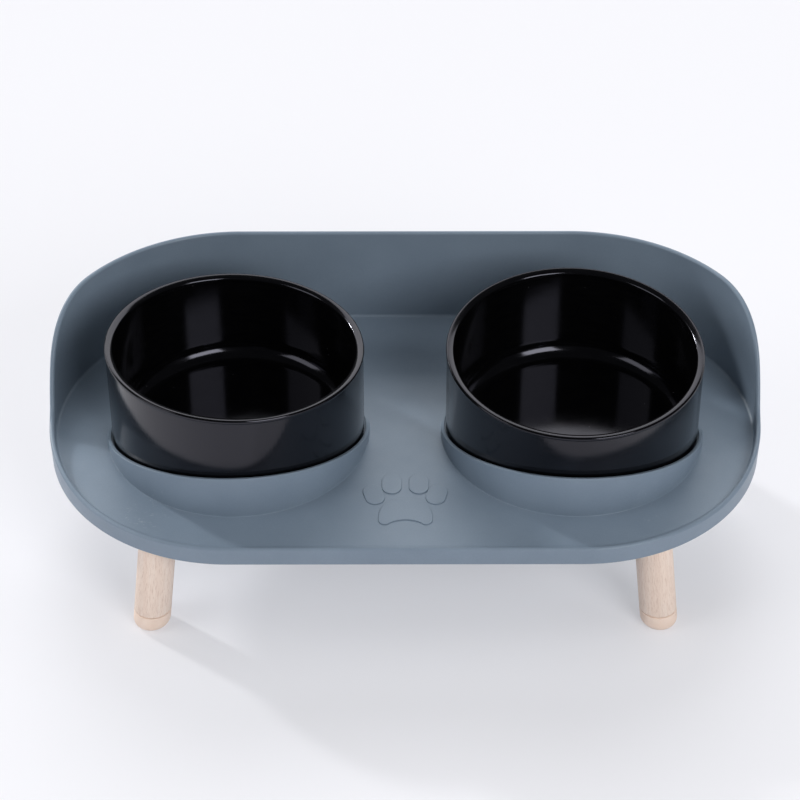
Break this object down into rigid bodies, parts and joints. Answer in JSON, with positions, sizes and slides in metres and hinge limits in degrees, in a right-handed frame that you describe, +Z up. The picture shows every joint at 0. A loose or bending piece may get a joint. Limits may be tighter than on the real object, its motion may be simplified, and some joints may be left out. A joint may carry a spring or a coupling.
{
  "type": "double pet bowl",
  "caption": "Raised feeding stand: a moulded tray with a tall splash guard and wedge collars holds two round black bowls that lift out, on splayed wooden legs.",
  "frame": {"origin": "On the ground under the middle of the tray, midway between the two round ends.", "axes": "X runs along the tray to the right of someone facing its open front, Y to the back where the splash guard stands, Z up."},
  "size_m": [0.365, 0.1916, 0.127],
  "materials": {
    "blue_plastic": "fine matt moulded plastic, grey blue",
    "black_glaze": "glossy black",
    "beech": "pale beech, smoothly sanded, clear matt lacquer",
    "zinc_steel": "zinc plated steel",
    "brass": "turned brass",
    "cap_rubber": "soft beige rubber, matt"
  },
  "bodies": {
    "stand": {"tray": "blue_plastic", "front_left_leg": "beech", "front_right_leg": "beech", "back_left_leg": "beech", "back_right_leg": "beech", "front_left_bolt": "zinc_steel", "front_right_bolt": "zinc_steel", "back_left_bolt": "zinc_steel", "back_right_bolt": "zinc_steel", "front_left_insert": "brass", "front_right_insert": "brass", "back_left_insert": "brass", "back_right_insert": "brass", "front_left_cap": "cap_rubber", "front_right_cap": "cap_rubber", "back_left_cap": "cap_rubber", "back_right_cap": "cap_rubber"},
    "left_bowl": {"left_bowl": "black_glaze"},
    "right_bowl": {"right_bowl": "black_glaze"}
  },
  "joints": [
    {"name": "left_bowl_lift", "type": "slide", "parent": "stand", "child": "left_bowl", "axis": [0, 0, 1], "range_m": [0, 0.09]},
    {"name": "right_bowl_lift", "type": "slide", "parent": "stand", "child": "right_bowl", "axis": [0, 0, 1], "range_m": [0, 0.09]}
  ]
}
